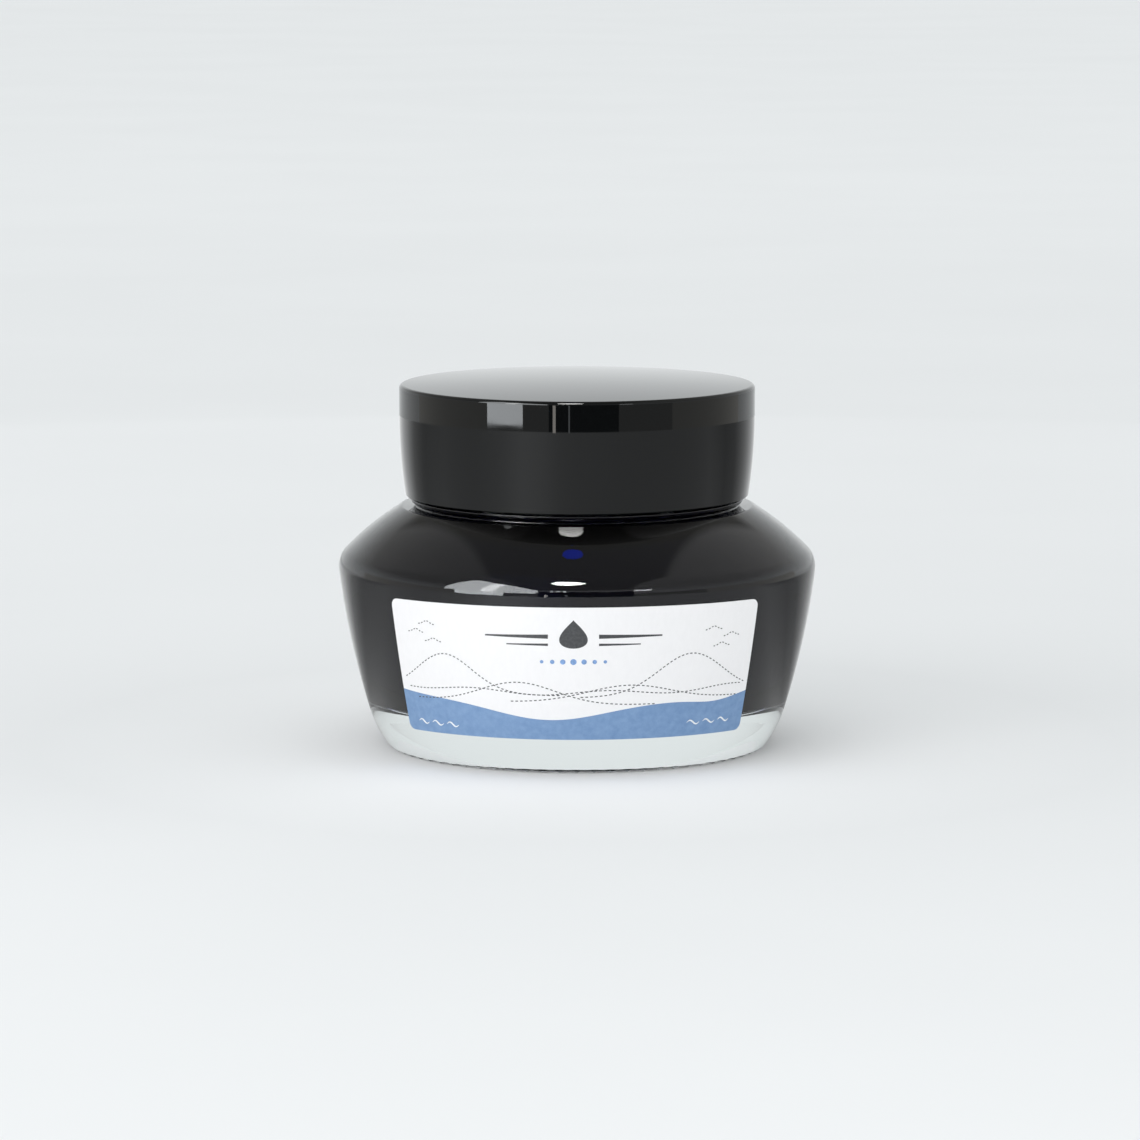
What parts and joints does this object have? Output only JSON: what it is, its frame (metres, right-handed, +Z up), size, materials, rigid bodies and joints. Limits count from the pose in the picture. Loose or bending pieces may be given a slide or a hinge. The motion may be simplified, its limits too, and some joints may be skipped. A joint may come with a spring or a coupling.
{
  "type": "ink bottle",
  "caption": "Squat round thick-walled glass ink bottle with a glossy black screw cap, a wrap label on its flank and a dipping reservoir in its neck.",
  "frame": {"origin": "centre of the ring of glass that the bottle stands on, in the plane of the table", "axes": "+Z up along the bottle's and the cap's common axis; the label faces -Y; +X is to the label's right"},
  "size_m": [0.07, 0.0704, 0.0536],
  "materials": {
    "clear_glass": "polished",
    "ink": "gloss",
    "natural_plastic": "satin",
    "foam_liner": "matte",
    "satin_black_plastic": "satin",
    "gloss_black_plastic": "polished",
    "label_paper": "satin"
  },
  "bodies": {
    "bottle": {"glass_bottle": "clear_glass", "ink_fill": "ink", "ink_reservoir": "natural_plastic", "reservoir_ink": "ink", "front_label": "label_paper"},
    "liner": {"seal_liner": "foam_liner"},
    "cap": {"cap_shell": "gloss_black_plastic", "cap_inner": "satin_black_plastic"}
  },
  "joints": [
    {"name": "cap_turn", "type": "hinge", "parent": "liner", "child": "cap", "pos_m": [0, 0, 0.045], "axis": [0, 0, 1], "range_deg": [0, 1260]},
    {"name": "cap_rise", "type": "slide", "parent": "bottle", "child": "liner", "axis": [0, 0, 1], "range_m": [0, 0.01482]}
  ],
  "couplings": [
    {"joint": "cap_rise", "follows": "cap_turn", "m_per_rad": 0.00067376}
  ]
}
